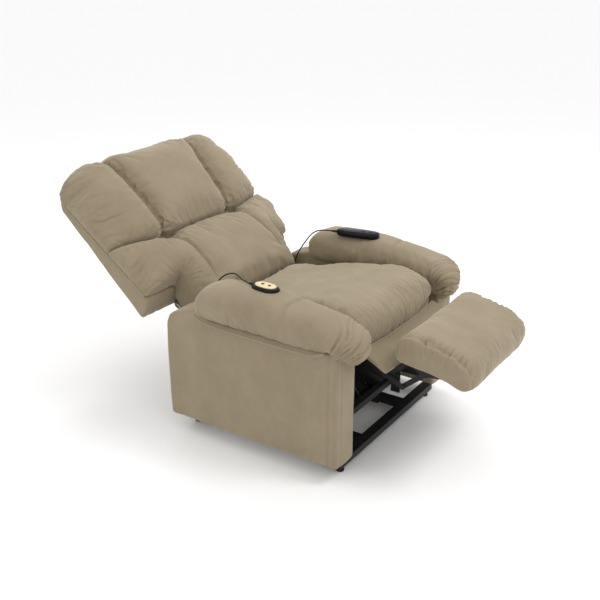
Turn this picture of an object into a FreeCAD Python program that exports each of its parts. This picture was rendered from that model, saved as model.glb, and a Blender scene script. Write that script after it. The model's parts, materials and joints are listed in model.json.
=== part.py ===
"""Lift recliner chair: a reclining armchair on a powered lifting base, millimetres.

The model is laid out in chair coordinates: X across the chair (+X is the sitter's left), Y from the
front faces of the arms towards the back, Z up from the floor.  Every piece is then moved along Y by
"origin_y", so that the origin lies on the floor under the middle of the overall length.
The chair is drawn reclined, with its footrest out and its seat down.
"""
import FreeCAD, Part
import Sketcher
import math
import os
import re

Vector = FreeCAD.Vector
Rotation = FreeCAD.Rotation
Placement = FreeCAD.Placement

DIMENSIONS = [
    ("origin_y", 413.54, "middle of the overall length, from the arms' front faces"),
    ("pad_half_width", 445, "outer side of the arm pads"),
    ("pad_inner", 272, "inner side of the arm pads"),
    ("arm_outer", 420, "outer face of the arm boxes"),
    ("arm_inner", 304, "inner face of the arm boxes"),
    ("arm_depth", 702, "arm box, front to rear"),
    ("arm_bottom", 65.5, "underside of the arm boxes"),
    ("arm_top", 470, "top of the arm boxes under the pads"),
    ("arm_rear_top", 446, "top of the arm boxes at the rear corner"),
    ("pad_top", 606, "top of the arm pads"),
    ("pad_rear", 556, "rear end of the arm pads"),
    ("pad_front", -66, "front of the rolled pad ends"),
    ("seat_half", 268, "seat cushion, half width"),
    ("seat_rear", 570, "rear end of the seat cushion"),
    ("seat_crown", 540, "highest line of the seat cushion"),
    ("deck_top", 406, "seat deck, upper face"),
    ("deck_thick", 10, "seat deck, thickness"),
    ("rail_inner", 140, "base side rails, inner face"),
    ("rail_wide", 38, "base side rails, width"),
    ("bar_low", 20, "underside of the base bars"),
    ("bar_high", 45, "top of the base bars"),
    ("bar_half", 350, "base bars, half length"),
    ("front_bar_y", 22, "front face of the front bar"),
    ("rear_bar_y", 640, "front face of the rear bar"),
    ("bar_wide", 38, "base bars, width"),
    ("foot_x", 322, "feet, off the middle"),
    ("foot_radius", 15, "feet"),
    ("lift_base_y", 171.5, "lift arm, pivot on the base"),
    ("lift_base_z", 79.6, ""),
    ("lift_top_y", 457.3, "lift arm, pivot on the chair"),
    ("lift_top_z", 157.1, ""),
    ("link_base_y", 151.1, "front lift link, pivot on the base"),
    ("link_base_z", 60.2, ""),
    ("link_top_y", 376.3, "front lift link, pivot on the chair"),
    ("link_top_z", 110.4, ""),
    ("lift_arm_x", 100, "lift arms, inner face"),
    ("lift_arm_thick", 10, ""),
    ("pivot_plate_x", 112, "pivot plates, inner face"),
    ("pivot_plate_thick", 6, ""),
    ("lift_link_x", 120, "front lift links, inner face"),
    ("lift_link_thick", 8, ""),
    ("lift_pin", 8, "lift pivot pins, radius"),
    ("running_gap", 0.05, "radial clearance of the running fits"),
    ("open_pivot_gap", 1.5, "radial clearance of the front link's upper eye"),
    ("lift_crank", 80, "lift crank, effective radius"),
    ("lift_rod_z", 156, "lift rod, height"),
    ("lift_rod_y", 214.4, "lift rod's pin, seat down"),
    ("lift_rod_radius", 8, ""),
    ("rod_pin", 5, "rod pins, radius"),
    ("back_pivot_y", 650, "recline pivot"),
    ("back_pivot_z", 345, ""),
    ("back_lean", 43.5, "back from the horizontal, reclined"),
    ("back_half", 435, "back, half width above the arms"),
    ("back_narrow", 272, "back, half width between the arms"),
    ("back_top", 762, "top of the back, from the pivot"),
    ("back_tube", 14, "recline torque tube, radius"),
    ("back_pin", 8, "recline pivot pins, radius"),
    ("back_rod_z", 247, "recline rod, height"),
    ("back_rod_y", 619.5, "recline rod's pin, reclined"),
    ("back_crank_lean", 17.5, "recline crank off the vertical at each end of its swing"),
    ("rest_pivot_y", 65.5, "footrest main link, pivot on the side plate"),
    ("rest_pivot_z", 374, ""),
    ("rest_knee_y", -59, "footrest main link, middle pivot"),
    ("rest_knee_z", 339, ""),
    ("rest_end_y", -120, "footrest main link, end pivot"),
    ("rest_end_z", 312, ""),
    ("rest_upper_y", -140, "footrest bracket, rear pivot"),
    ("rest_upper_z", 408, ""),
    ("idler_dy", 24.3, "idler link, offset from the main link"),
    ("idler_dz", -20.7, ""),
    ("link_layer", 198, "main footrest links, inner face"),
    ("bar_layer", 192, "footrest bars, inner face"),
    ("link_thick", 4, "footrest links, thickness"),
    ("link_half", 9, "footrest links, half width"),
    ("side_plate_x", 204, "seat side plates, inner face"),
    ("side_plate_thick", 5, ""),
    ("stud", 4, "footrest studs, radius"),
    ("rest_half", 240, "footrest pad, half width"),
    ("hinge_plate_x", 274, "recline hinge plates, inner face"),
    ("handset_long", 170, "lift handset, length"),
    ("handset_wide", 55, ""),
    ("handset_high", 26, ""),
    ("handset_turn", 12.5, "lift handset, turned about the vertical"),
    ("oval_long", 105, "massage handset, length"),
    ("oval_wide", 60, ""),
    ("oval_high", 20, ""),
    ("handset_corner", 14, "lift handset, corners cut off in plan"),
    ("key_travel", 1.5, "handset keys"),
    ("key_gap", 0.2, "clearance under a key pressed home"),
    ("relief_end", 0.8, "thin end of a strain relief, thickness over the cord"),
    ("cord_diameter", 5, "handset cords"),
]
ALIASES = {name for name, value, note in DIMENSIONS}
LIFT_HANDSET_AT = (307.5, 352.5, 606.3)
MASSAGE_HANDSET_AT = (-345, 325, 606.3)

doc = FreeCAD.newDocument("lift_recliner_chair")
sheet = doc.addObject("Spreadsheet::Sheet", "Dim")
for row, (alias, value, note) in enumerate(DIMENSIONS, start=1):
    sheet.set("A%d" % row, alias)
    sheet.set("B%d" % row, str(value))
    sheet.set("C%d" % row, note)
    sheet.setAlias("B%d" % row, alias)
doc.recompute()
nodes = []


def bind(text):
    """An expression on the sheet, from text that uses the bare aliases."""
    def name(match):
        word = match.group(0)
        return "Dim." + word if word in ALIASES else word
    return re.sub(r"[a-z][a-z0-9_]*", name, str(text))


def value(text):
    """The number that an expression comes to."""
    result = sheet.evalExpression(bind(text))
    return float(getattr(result, "Value", result))


# ---------------------------------------------------------------- building blocks

def box(x, y, z):
    """A box between pairs of expressions."""
    block = doc.addObject("Part::Box", "Box")
    for side, coordinate, (low, high) in zip(("Length", "Width", "Height"), "xyz", (x, y, z)):
        block.setExpression(side, bind("(%s) - (%s)" % (high, low)))
        block.setExpression(".Placement.Base." + coordinate, bind(low))
    return block


def cylinder(axis, start, length, radius):
    """A cylinder from start (three expressions) along +X, +Y or +Z."""
    rod = doc.addObject("Part::Cylinder", "Cylinder")
    turns = {"x": Rotation(Vector(0, 1, 0), 90), "y": Rotation(Vector(1, 0, 0), -90), "z": Rotation()}
    rod.Placement = Placement(Vector(), turns[axis])
    rod.setExpression("Radius", bind(radius))
    rod.setExpression("Height", bind(length))
    for coordinate, low in zip("xyz", start):
        rod.setExpression(".Placement.Base." + coordinate, bind(low))
    return rod


def prism(axis, low, high, points):
    """A body with a closed outline of straight edges, padded from low to high along an axis."""
    body = doc.addObject("PartDesign::Body", "Body")
    sketch = body.newObject("Sketcher::SketchObject", "Outline")
    role = {"x": "YZ_Plane", "y": "XZ_Plane", "z": "XY_Plane"}[axis]
    plane = [item for item in body.Origin.OriginFeatures if item.Role == role][0]
    sketch.AttachmentSupport = [(plane, "")]
    sketch.MapMode = "FlatFace"
    offset = "-(%s)" % low if axis == "y" else "(%s)" % low
    sketch.setExpression(".AttachmentOffset.Base.z", bind(offset))
    corners = [Vector(value(u), value(v), 0) for u, v in points]
    count = len(corners)
    lines = [Part.LineSegment(corners[i], corners[(i + 1) % count]) for i in range(count)]
    sketch.addGeometry(lines, False)
    for i in range(count):
        sketch.addConstraint(Sketcher.Constraint("Coincident", i, 2, (i + 1) % count, 1))
    for i, texts in enumerate(points):
        for kind, text in zip(("DistanceX", "DistanceY"), texts):
            index = sketch.addConstraint(Sketcher.Constraint(kind, -1, 1, i, 1, value(text)))
            if any(word in ALIASES for word in re.findall(r"[a-z][a-z0-9_]*", str(text))):
                sketch.setExpression("Constraints[%d]" % index, bind(text))
    pad = body.newObject("PartDesign::Pad", "Pad")
    pad.Profile = sketch
    pad.Reversed = axis == "y"
    pad.setExpression("Length", bind("(%s) - (%s)" % (high, low)))
    body.Tip = pad
    return body


def rounded(body, radius, wanted=None):
    """Rounds the body's edges; wanted(edge) picks which."""
    doc.recompute()
    solid = body.Tip
    names = ["Edge%d" % (i + 1) for i, edge in enumerate(solid.Shape.Edges)
             if wanted is None or wanted(edge)]
    fillet = body.newObject("PartDesign::Fillet", "Fillet")
    fillet.Base = (solid, names)
    fillet.setExpression("Radius", bind(radius))
    body.Tip = fillet
    return body


def not_along_x(edge):
    """True for the rim edges of a prism's two side faces."""
    ends = [vertex.Point for vertex in edge.Vertexes]
    return abs(ends[0].x - ends[-1].x) < 0.01


def fused(pieces):
    whole = doc.addObject("Part::MultiFuse", "Fuse")
    whole.Shapes = pieces
    return whole


def cut(base, tool):
    result = doc.addObject("Part::Cut", "Cut")
    result.Base = base
    result.Tool = tool
    return result


def mirrored(source):
    """The same piece on the other side of the chair."""
    copy = doc.addObject("Part::Mirroring", "Mirrored")
    copy.Source = source
    copy.Normal = Vector(1, 0, 0)
    return copy


def link_bar(start, end, low_x, thick, half_width, holes=()):
    """A flat bar with round ends between two pivots, bored at (pivot, radius) pairs."""
    (y1, z1), (y2, z2) = start, end
    bar = doc.addObject("Part::Box", "Bar")
    bar.setExpression("Length", bind(thick))
    bar.setExpression("Width", bind("sqrt((%s - (%s))^2 + (%s - (%s))^2)" % (y2, y1, z2, z1)))
    bar.setExpression("Height", bind("2 * (%s)" % half_width))
    angle = math.degrees(math.atan2(value(z2) - value(z1), value(y2) - value(y1)))
    bar.Placement = Placement(Vector(), Rotation(Vector(1, 0, 0), angle))
    bar.setExpression(".Placement.Base.x", bind(low_x))
    sine = math.sin(math.radians(angle))
    cosine = math.cos(math.radians(angle))
    bar.setExpression(".Placement.Base.y", bind("%s + (%s) * (%.9f)" % (y1, half_width, sine)))
    bar.setExpression(".Placement.Base.z", bind("%s - (%s) * (%.9f)" % (z1, half_width, cosine)))
    ends = [cylinder("x", (low_x, y, z), thick, half_width) for y, z in (start, end)]
    whole = fused([bar] + ends)
    for (y, z), radius in holes:
        whole = cut(whole, cylinder("x", ("(%s) - 1" % low_x, y, z), "(%s) + 2" % thick, radius))
    return whole


def node(label, pieces, placement=None):
    """Names a finished sub-part: one piece, or a group of separate solids."""
    if len(pieces) == 1:
        item = pieces[0]
    else:
        item = doc.addObject("Part::Compound", "Group")
        item.Links = pieces
    if item.TypeId in ("Part::Box", "Part::Cylinder"):
        holder = doc.addObject("Part::Compound", "Single")
        holder.Links = [item]
        item = holder
    item.Placement = placement or Placement(Vector(0, -value("origin_y"), 0), Rotation())
    item.Label = label
    nodes.append(item)
    return item


def mirrored_node(label, source):
    """The opposite-hand copy of a node that is already in its place."""
    node(label, [mirrored(source)], Placement())


def both_sides(piece):
    return [piece, mirrored(piece)]


def back_placement():
    """The back's own frame: Y runs up the back from the recline pivot, Z out of its front."""
    at = Vector(0, value("back_pivot_y - origin_y"), value("back_pivot_z"))
    return Placement(at, Rotation(Vector(1, 0, 0), value("back_lean")))


# ---------------------------------------------------------------- base

def build_base():
    node("base_side_rails", both_sides(box(
        ("rail_inner", "rail_inner + rail_wide"),
        ("front_bar_y + bar_wide", "rear_bar_y"), ("bar_low", "bar_high"))))
    node("base_cross_bars", [box(("-bar_half", "bar_half"), (front, front + " + bar_wide"),
                                 ("bar_low", "bar_high")) for front in ("front_bar_y", "rear_bar_y")])
    feet = []
    for side in ("-foot_x", "foot_x"):
        for front in ("front_bar_y", "rear_bar_y"):
            centre = (side, front + " + bar_wide / 2", "0")
            glide = cylinder("z", centre, "6", "foot_radius")
            stem = cylinder("z", centre, "bar_low", "foot_radius * 0.6")
            feet.append(fused([glide, stem]))
    node("base_feet", feet)

    plate = prism("x", "pivot_plate_x", "pivot_plate_x + pivot_plate_thick", [
        ("133", "30"), ("222", "30"), ("222", "58"), ("lift_base_y + 18", "lift_base_z + 20"),
        ("lift_base_y - 14", "lift_base_z + 20"), ("141", "74"), ("133", "66")])
    flange = box(("pivot_plate_x", "rail_inner + 24"), ("178", "222"), ("bar_high", "bar_high + 4"))
    bracket = fused([plate, flange])
    node("base_pivot_brackets", both_sides(bracket))
    arm_pin = cylinder("x", ("lift_arm_x - 3", "lift_base_y", "lift_base_z"),
                       "pivot_plate_x - lift_arm_x + 3", "lift_pin")
    link_pin = cylinder("x", ("pivot_plate_x + pivot_plate_thick", "link_base_y", "link_base_z"),
                        "lift_link_x + lift_link_thick + 3 - pivot_plate_x - pivot_plate_thick",
                        "lift_pin * 0.75")
    node("base_pivot_pins", both_sides(arm_pin) + both_sides(link_pin))


def build_lift_actuator():
    foot = box(("-30", "30"), ("rear_bar_y", "rear_bar_y + bar_wide"), ("bar_high", "bar_high + 5"))
    ears = [box((low, high), ("rear_bar_y - 4", "rear_bar_y + 26"), ("bar_high", "lift_rod_z + 14"))
            for low, high in (("-22", "-17"), ("17", "22"))]
    ears_pin = cylinder("x", ("-24", "rear_bar_y + 10", "lift_rod_z"), "48", "rod_pin + 1")
    node("lift_motor_bracket", [fused([foot] + ears + [ears_pin])])

    gearbox = rounded(prism("x", "-38", "38", [
        ("505", "lift_rod_z - 33"), ("596", "lift_rod_z - 33"), ("596", "lift_rod_z + 30"),
        ("505", "lift_rod_z + 30")]), "7", not_along_x)
    lug = box(("-16", "16"), ("594", "rear_bar_y + 24"), ("lift_rod_z - 14", "lift_rod_z + 14"))
    bore = cylinder("x", ("-17", "rear_bar_y + 10", "lift_rod_z"), "34", "rod_pin + 1")
    can = cylinder("x", ("36", "552", "lift_rod_z"), "52", "27")
    sleeve = cylinder("y", ("0", "300", "lift_rod_z"), "206", "15")
    hollow = cylinder("y", ("0", "299", "lift_rod_z"), "130", "lift_rod_radius + running_gap")
    node("lift_motor", [cut(cut(fused([gearbox, lug, can, sleeve]), bore), hollow)])
    shaft = cylinder("y", ("0", "lift_rod_y", "lift_rod_z"), "207", "lift_rod_radius")
    eye = box(("-10", "10"), ("lift_rod_y - 12", "lift_rod_y + 14"),
              ("lift_rod_z - 12", "lift_rod_z + 12"))
    pin = cylinder("x", ("-22", "lift_rod_y", "lift_rod_z"), "44", "rod_pin")
    node("lift_rod", [fused([shaft, eye, pin])])


def build_lift_linkage():
    base = ("lift_base_y", "lift_base_z")
    top = ("lift_top_y", "lift_top_z")
    arm = link_bar(base, top, "lift_arm_x", "lift_arm_thick", "16",
                   [(base, "lift_pin + running_gap"), (top, "lift_pin + running_gap")])
    node("lift_arm_left", [arm])
    mirrored_node("lift_arm_right", arm)
    tube = cylinder("x", ("-lift_arm_x + 4", "lift_base_y", "lift_base_z"), "2 * lift_arm_x - 8", "16")
    tabs = []
    for low in ("-18", "12"):
        tab = prism("x", low, low + " + 6", [
            ("lift_base_y - 16", "lift_base_z + 8"), ("lift_base_y + 16", "lift_base_z - 8"),
            ("lift_base_y + 68", "lift_base_z + 74"), ("lift_base_y + 36", "lift_base_z + 92")])
        tabs.append(tab)
    crank = fused([tube] + tabs)
    slot = doc.addObject("Part::Box", "Slot")
    slot.Length = 60
    slot.setExpression("Width", bind("0.25 * lift_crank + rod_pin"))
    slot.setExpression("Height", bind("2 * rod_pin + 4"))
    slot_angle = 60
    reach = value("lift_crank") * 0.88
    half = value("rod_pin") + 2
    along = Vector(0, math.cos(math.radians(slot_angle)), math.sin(math.radians(slot_angle)))
    across = Vector(0, math.sin(math.radians(slot_angle)), -math.cos(math.radians(slot_angle)))
    corner = Vector(-30, value("lift_base_y"), value("lift_base_z")) + along * reach + across * half
    slot.Placement = Placement(corner, Rotation(Vector(1, 0, 0), slot_angle))
    node("lift_torque_tube", [cut(crank, slot)])
    low = ("link_base_y", "link_base_z")
    high = ("link_top_y", "link_top_z")
    link = link_bar(low, high, "lift_link_x", "lift_link_thick", "9.5",
                    [(low, "lift_pin * 0.75 + running_gap"), (high, "lift_pin * 0.6 + open_pivot_gap")])
    node("lift_links", both_sides(link))


# ---------------------------------------------------------------- seat structure

def build_seat_frame():
    plate = prism("x", "side_plate_x", "side_plate_x + side_plate_thick", [
        ("45", "392"), ("48", "345"), ("80", "320"), ("118", "84"), ("146", "84"), ("146", "110"),
        ("122", "330"), ("160", "352"), ("615", "352"), ("615", "392")])
    pivots = (("rest_pivot_y", "rest_pivot_z"),
              ("rest_pivot_y + idler_dy", "rest_pivot_z + idler_dz"))
    studs = [cylinder("x", ("link_layer - 1.5", y, z), "side_plate_x - link_layer + 1.5", "stud")
             for y, z in pivots]
    side = fused([plate] + studs)
    node("seat_side_plate_left", [side])
    mirrored_node("seat_side_plate_right", side)
    node("front_cross_tube", [box(("-side_plate_x", "side_plate_x"), ("120", "144"), ("84", "108"))])
    middle = box(("-arm_inner", "arm_inner"), ("250", "275"), ("327", "352"))
    rear = box(("-hinge_plate_x", "hinge_plate_x"), ("590", "615"), ("327", "352"))
    rails = [box((low, high), ("275", "590"), ("327", "352"))
             for low, high in (("-143", "-118"), ("118", "143"))]
    node("seat_frame", [middle, rear] + rails)
    hanger = prism("x", "pivot_plate_x", "pivot_plate_x + pivot_plate_thick", [
        ("358", "96"), ("392", "92"), ("480", "136"), ("482", "178"), ("440", "352"),
        ("340", "352"), ("340", "300")])
    node("lift_hanger_plates", both_sides(hanger))
    arm_pin = cylinder("x", ("lift_arm_x - 3", "lift_top_y", "lift_top_z"),
                       "pivot_plate_x - lift_arm_x + 3", "lift_pin")
    link_pin = cylinder("x", ("pivot_plate_x + pivot_plate_thick", "link_top_y", "link_top_z"),
                        "lift_link_x + lift_link_thick + 3 - pivot_plate_x - pivot_plate_thick",
                        "lift_pin * 0.6")
    node("lift_hanger_pins", both_sides(arm_pin) + both_sides(link_pin))
    hinge = prism("x", "hinge_plate_x", "hinge_plate_x + 6", [
        ("580", "327"), ("625", "322"), ("668", "328"), ("672", "355"), ("650", "368"), ("580", "358")])
    node("back_hinge_plates", both_sides(hinge))
    node("back_hinge_pins", both_sides(cylinder(
        "x", ("hinge_plate_x - 22", "back_pivot_y", "back_pivot_z"), "22", "back_pin")))
    node("seat_deck", [box(("-seat_half + 6", "seat_half - 6"), ("30", "560"),
                           ("deck_top - deck_thick", "deck_top"))])
    node("control_box", [rounded(prism("x", "-85", "85", [
        ("400", "288"), ("520", "288"), ("520", "326"), ("400", "326")]), "4", not_along_x)])
    node("power_inlet", [box(("-14", "14"), ("520", "532"), ("298", "316"))])


def build_back_actuator():
    body = rounded(prism("x", "-34", "34", [
        ("282", "back_rod_z - 32"), ("372", "back_rod_z - 32"), ("372", "back_rod_z + 34"),
        ("282", "back_rod_z + 34")]), "6", not_along_x)
    hanger = box(("-15", "15"), ("250", "284"), ("back_rod_z - 14", "327"))
    sleeve = cylinder("y", ("0", "371", "back_rod_z"), "151", "14")
    hollow = cylinder("y", ("0", "424", "back_rod_z"), "99", "7 + running_gap")
    node("back_motor", [cut(fused([body, hanger, sleeve]), hollow)])
    shaft = cylinder("y", ("0", "430", "back_rod_z"), "back_rod_y - 430", "7")
    eye = box(("-10", "10"), ("back_rod_y - 14", "back_rod_y + 11"),
              ("back_rod_z - 11", "back_rod_z + 11"))
    pin = cylinder("x", ("-22", "back_rod_y", "back_rod_z"), "44", "rod_pin")
    node("back_rod", [fused([shaft, eye, pin])])


# ---------------------------------------------------------------- upholstery

def build_arms():
    arm = rounded(prism("x", "arm_inner", "arm_outer", [
        ("0", "arm_bottom"), ("arm_depth", "arm_bottom"), ("arm_depth", "arm_rear_top"),
        ("arm_depth - 25", "arm_top"), ("562", "507"), ("558", "arm_top"), ("0", "arm_top")]),
        "10", lambda edge: not_along_x(edge) and edge.CenterOfMass.x > 400)
    node("arm_box_left", [arm])
    mirrored_node("arm_box_right", arm)
    lining = box(("arm_inner - 8", "arm_inner - 1"), ("20", "690"), ("90", "392"))
    bar_slot = box(("arm_inner - 20", "arm_inner"), ("249", "276"), ("326", "353"))
    curtain = box(("-arm_inner + 9", "arm_inner - 9"), ("235", "238"), ("200", "350"))
    skirt = box(("180", "186"), ("80", "400"), ("60", "322"))
    tube_slot = box(("174", "190"), ("117", "147"), ("50", "111"))
    node("arm_linings", both_sides(cut(lining, bar_slot)) + both_sides(cut(skirt, tube_slot)) + [curtain])
    pad = rounded(prism("x", "pad_inner", "pad_half_width", [
        ("-6", "442"), ("-36", "444"), ("-58", "474"), ("pad_front", "508"), ("-50", "546"),
        ("-4", "572"), ("90", "592"), ("210", "pad_top"), ("500", "pad_top"), ("546", "574"),
        ("pad_rear", "510"), ("pad_rear", "arm_top + 3"), ("-6", "arm_top + 3")]),
        "16", lambda edge: not_along_x(edge) and edge.CenterOfMass.z > 480)
    node("arm_pad_left", [pad])
    mirrored_node("arm_pad_right", pad)


def build_seat():
    seat = rounded(prism("x", "-seat_half", "seat_half", [
        ("-24", "442"), ("30", "deck_top + 1"), ("seat_rear", "deck_top + 1"), ("seat_rear", "484"),
        ("300", "520"), ("110", "seat_crown"), ("20", "532"), ("-24", "496")]),
        "12", lambda edge: not_along_x(edge) and edge.CenterOfMass.z > 480)
    node("seat_cushion", [seat])
    node("front_apron", [prism("x", "-258", "258", [
        ("-28", "433"), ("-90", "394"), ("-87", "385"), ("-13", "421")])])


def build_back():
    frame = back_placement()
    tube = cylinder("x", ("-262", "0", "0"), "524", "back_tube")
    hollow = cylinder("x", ("-263", "0", "0"), "526", "back_pin + running_gap")
    crank_angle = value("-90 - back_crank_lean - back_lean")
    reach = value("(back_pivot_z - back_rod_z) / cos(back_crank_lean)")
    direction = Vector(0, math.cos(math.radians(crank_angle)), math.sin(math.radians(crank_angle)))
    side = Vector(0, -direction.z, direction.y)
    tabs = []
    for low in ("-18", "12"):
        corners = [direction * along + side * across
                   for along, across in ((4, -12), (4, 12), (reach + 16, 12), (reach + 16, -12))]
        tab = prism("x", low, low + " + 6", [("%.4f" % c.y, "%.4f" % c.z) for c in corners])
        centre = direction * reach
        slot = fused([cylinder("x", (low + " - 1", "%.4f" % (centre.y + direction.y * shift),
                                     "%.4f" % (centre.z + direction.z * shift)), "8", "rod_pin + 1")
                      for shift in (-5, -2.5, 0, 2.5)])
        tabs.append(cut(tab, slot))
    node("back_torque_tube", [cut(fused([tube] + tabs), hollow)], frame)
    bracket = prism("x", "back_narrow - 8", "back_narrow - 3", [
        ("-18", "-18"), ("40", "-46"), ("175", "-46"), ("175", "-29"), ("24", "18"), ("-14", "18")])
    hole = cylinder("x", ("back_narrow - 9", "0", "0"), "7", "back_pin + running_gap")
    node("back_brackets", both_sides(cut(bracket, hole)), frame)
    stiles = [box((low, high), ("34", "655"), ("-46", "-38"))
              for low, high in (("-264", "-214"), ("214", "264"))]
    rails = [box((low, high), (front, rear), ("-38", "-30")) for low, high, front, rear in (
        ("-390", "390", "215", "265"), ("-390", "390", "605", "655"), ("-264", "264", "400", "440"))]
    node("back_frame", stiles + rails, frame)
    node("massage_motors", [cylinder("z", (x, y, "-29.5"), "18", "32")
                            for x in ("-110", "110") for y in ("240", "420")], frame)
    node("back_rear_panel", [box(("-back_half + 4", "back_half - 4"), ("166", "673"), ("-60", "-47"))],
         frame)
    wing = prism("x", "back_half - 38", "back_half", [
        ("180", "-46.5"), ("672", "-46.5"), ("672", "-32"), ("206", "25"), ("184", "10")])
    node("back_wing_left", [wing], frame)
    mirrored_node("back_wing_right", wing)
    lumbar = prism("x", "-back_half + 8", "back_half - 8", [
        ("48", "-28"), ("48", "82"), ("130", "102"), ("200", "114"), ("260", "116"), ("330", "100"),
        ("402", "66"), ("402", "3"), ("212", "27"), ("205", "27"), ("190", "-28")])
    notches = [box(limits, ("20", "205"), ("-40", "130")) for limits in (
        ("-back_half", "-back_narrow + 10"), ("back_narrow - 10", "back_half"))]
    node("lumbar_pillow", [cut(lumbar, fused(notches))], frame)
    head = rounded(prism("x", "-back_half + 8", "back_half - 8", [
        ("406", "3"), ("406", "66"), ("470", "98"), ("580", "108"), ("690", "90"), ("748", "52"),
        ("back_top", "8"), ("744", "-34"), ("700", "-58"), ("676", "-58"), ("676", "-30")]),
        "12", lambda edge: not_along_x(edge) and edge.CenterOfMass.z > 60)
    node("head_pillow", [head], frame)


# ---------------------------------------------------------------- footrest

def build_footrest():
    pivot = ("rest_pivot_y", "rest_pivot_z")
    knee = ("rest_knee_y", "rest_knee_z")
    end = ("rest_end_y", "rest_end_z")
    upper = ("rest_upper_y", "rest_upper_z")
    lower = ("rest_upper_y + rest_end_y - rest_knee_y", "rest_upper_z + rest_end_z - rest_knee_z")
    idler_pivot = ("rest_pivot_y + idler_dy", "rest_pivot_z + idler_dz")
    idler_knee = ("rest_knee_y + idler_dy", "rest_knee_z + idler_dz")
    bored = "stud + running_gap"

    def stud(at):
        return cylinder("x", ("bar_layer - 2", at[0], at[1]), "link_layer - bar_layer + 2", "stud")

    main = fused([
        link_bar(pivot, knee, "link_layer", "link_thick", "link_half", [(pivot, bored)]),
        link_bar(knee, end, "link_layer", "link_thick", "link_half"), stud(knee), stud(end)])
    node("footrest_main_links", both_sides(main))
    idler = fused([link_bar(idler_pivot, idler_knee, "link_layer", "link_thick", "link_half",
                            [(idler_pivot, bored)]), stud(idler_knee)])
    node("footrest_idler_links", both_sides(idler))
    rear_bar = link_bar(idler_knee, upper, "bar_layer", "link_thick", "link_half",
                        [(idler_knee, bored), (knee, bored), (upper, bored)])
    node("footrest_rear_bars", both_sides(rear_bar))
    front_bar = link_bar(end, lower, "bar_layer", "link_thick", "link_half",
                         [(end, bored), (lower, bored)])
    node("footrest_front_bars", both_sides(front_bar))
    plate = prism("x", "link_layer", "link_layer + link_thick", [
        ("-128", "402"), ("-140", "397"), ("-201", "370"), ("-214", "374"), ("-300", "384"),
        ("-300", "391.7"), ("-122", "427")])
    node("footrest_brackets", both_sides(fused([plate, stud(upper), stud(lower)])))
    node("footrest_board", [prism("x", "-rest_half + 12", "rest_half - 12", [
        ("-120", "428.6"), ("-352", "382.6"), ("-354", "393"), ("-122", "440")])])
    node("footrest_pad", [rounded(prism("x", "-rest_half", "rest_half", [
        ("-116", "441.5"), ("-356", "393.5"), ("-378", "400"), ("-386", "414"), ("-374", "436"),
        ("-300", "464"), ("-180", "500"), ("-136", "504"), ("-112", "482")]),
        "10", lambda edge: not_along_x(edge) and edge.CenterOfMass.z > 420)])


# ---------------------------------------------------------------- handsets and their cords

def handset_frame(at, turn):
    place = Vector(at[0], at[1] - value("origin_y"), at[2])
    return Placement(place, Rotation(Vector(0, 0, 1), turn))


def build_lift_handset():
    frame = handset_frame(LIFT_HANDSET_AT, value("handset_turn"))
    shell = rounded(prism("z", "0", "handset_high", [
        ("-handset_wide / 2", "-handset_long / 2 + handset_corner"),
        ("-handset_wide / 2 + handset_corner", "-handset_long / 2"),
        ("handset_wide / 2 - handset_corner", "-handset_long / 2"),
        ("handset_wide / 2", "-handset_long / 2 + handset_corner"),
        ("handset_wide / 2 - 5", "handset_long / 2 - 10"), ("handset_wide / 2 - 15", "handset_long / 2"),
        ("-handset_wide / 2 + 15", "handset_long / 2"), ("-handset_wide / 2 + 5", "handset_long / 2 - 10"),
    ]), "6", lambda edge: edge.CenterOfMass.z > 1)
    floor = "handset_high - 2.3 - key_travel - key_gap"
    wells = fused([cylinder("z", ("0", y, floor), "5", "9.5") for y in ("-52", "-22")])
    node("lift_handset", [cut(shell, wells)], frame)
    for label, y in (("lift_key_up", "-52"), ("lift_key_down", "-22")):
        node(label, [cylinder("z", ("0", y, "handset_high - 2.3"), "4.3", "9")], frame)
    relief = doc.addObject("Part::Cone", "Relief")
    relief.Radius1 = 6
    relief.setExpression("Radius2", bind("cord_diameter / 2 + relief_end"))
    relief.Height = 24
    relief.Placement = Placement(Vector(0, value("handset_long / 2"), 12), Rotation(Vector(1, 0, 0), -90))
    holder = doc.addObject("Part::Compound", "Single")
    holder.Links = [relief]
    node("lift_strain_relief", [holder], frame)


def build_massage_handset():
    frame = handset_frame(MASSAGE_HANDSET_AT, -4)
    steps = 24
    outline = [("oval_wide / 2 * (%.6f)" % math.cos(2 * math.pi * i / steps),
                "oval_long / 2 * (%.6f)" % math.sin(2 * math.pi * i / steps)) for i in range(steps)]
    shell = prism("z", "0", "oval_high", outline)
    well = prism("z", "oval_high - 0.8 - key_travel - key_gap", "oval_high + 1",
                 [("0.8 * (%s)" % u, "0.8 * (%s)" % v) for u, v in outline])
    node("massage_handset", [cut(shell, well)], frame)
    plate = prism("z", "oval_high - 2.3", "oval_high + 0.6",
                  [("0.79 * (%s)" % u, "0.79 * (%s)" % v) for u, v in outline])
    holes = fused([cylinder("z", ("0", y, "oval_high - 3"), "5", "6.4") for y in ("-16", "12")])
    node("massage_faceplate", [cut(plate, holes)], frame)
    for label, y in (("massage_key_power", "-16"), ("massage_key_mode", "12")):
        node(label, [cylinder("z", ("0", y, "oval_high - 0.8"), "3", "6")], frame)
    relief = doc.addObject("Part::Cone", "Relief")
    relief.Radius1 = 5.5
    relief.setExpression("Radius2", bind("cord_diameter / 2 + relief_end"))
    relief.Height = 20
    relief.Placement = Placement(Vector(0, value("oval_long / 2 - 0.3"), 10),
                                 Rotation(Vector(1, 0, 0), -90))
    holder = doc.addObject("Part::Compound", "Single")
    holder.Links = [relief]
    node("massage_strain_relief", [cut(holder, prism("z", "0", "oval_high", outline))], frame)


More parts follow.
